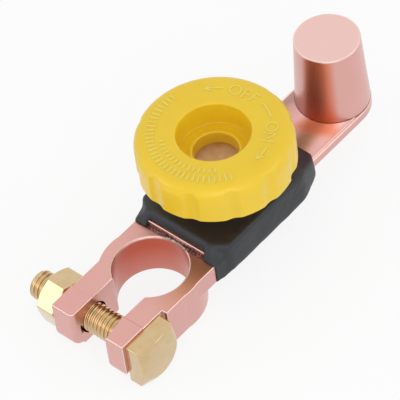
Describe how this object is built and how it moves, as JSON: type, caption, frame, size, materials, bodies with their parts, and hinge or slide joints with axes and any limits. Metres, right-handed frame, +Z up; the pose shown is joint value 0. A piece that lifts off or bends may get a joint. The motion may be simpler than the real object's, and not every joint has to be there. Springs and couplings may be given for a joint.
{
  "type": "battery disconnect switch",
  "caption": "Split clamp for a battery post, a screw-down contact knob on a moulded housing, and a tapered post for the cable clamp.",
  "frame": {"origin": "on the axis of the clamp's bore, in the plane of the clamp's underside", "axes": "+X from the clamp to the tapered post, +Y towards the clamp's nut, +Z up along the bore, the knob and the tapered post"},
  "size_m": [0.1076, 0.0449, 0.0397],
  "materials": {
    "copper_casting": "copper plated, smooth satin",
    "stud_brass": "turned, satin",
    "hardware_brass": "bright plated",
    "housing_moulding": "matt, slightly rubbery",
    "insulator": "matt fibre",
    "seal_rubber": "matt",
    "knob_plastic": "smooth moulded, satin gloss"
  },
  "bodies": {
    "frame": {"clamp_casting": "copper_casting", "post_casting": "copper_casting", "housing": "housing_moulding", "insulating_sheet": "insulator", "insulating_bush": "insulator", "base_plug": "housing_moulding", "retainer_ring": "housing_moulding", "stem_seal": "seal_rubber"},
    "contact": {"contact_washer": "copper_casting"},
    "turning_knob": {"knob": "knob_plastic", "contact_stud": "stud_brass"},
    "nut": {"clamp_nut": "hardware_brass"},
    "bolt": {"clamp_bolt": "hardware_brass"}
  },
  "joints": [
    {"name": "knob_lift", "type": "slide", "parent": "frame", "child": "contact", "axis": [0, 0, 1], "range_m": [-0.003, 0]},
    {"name": "knob_turn", "type": "hinge", "parent": "contact", "child": "turning_knob", "pos_m": [0.0283, 0, 0.0266], "axis": [0, 0, 1], "range_deg": [-720, 0]},
    {"name": "clamp_nut_turn", "type": "hinge", "parent": "frame", "child": "nut", "pos_m": [-0.0168, 0.0156, 0.0056], "axis": [0, 1, 0], "range_deg": [0, 720]},
    {"name": "clamp_bolt_slide", "type": "slide", "parent": "frame", "child": "bolt", "axis": [0, -1, 0], "range_m": [0, 0.0025]}
  ],
  "couplings": [
    {"joint": "knob_turn", "follows": "knob_lift", "rad_per_m": 4188.8},
    {"joint": "clamp_nut_turn", "follows": "clamp_bolt_slide", "rad_per_m": 5026.5}
  ]
}
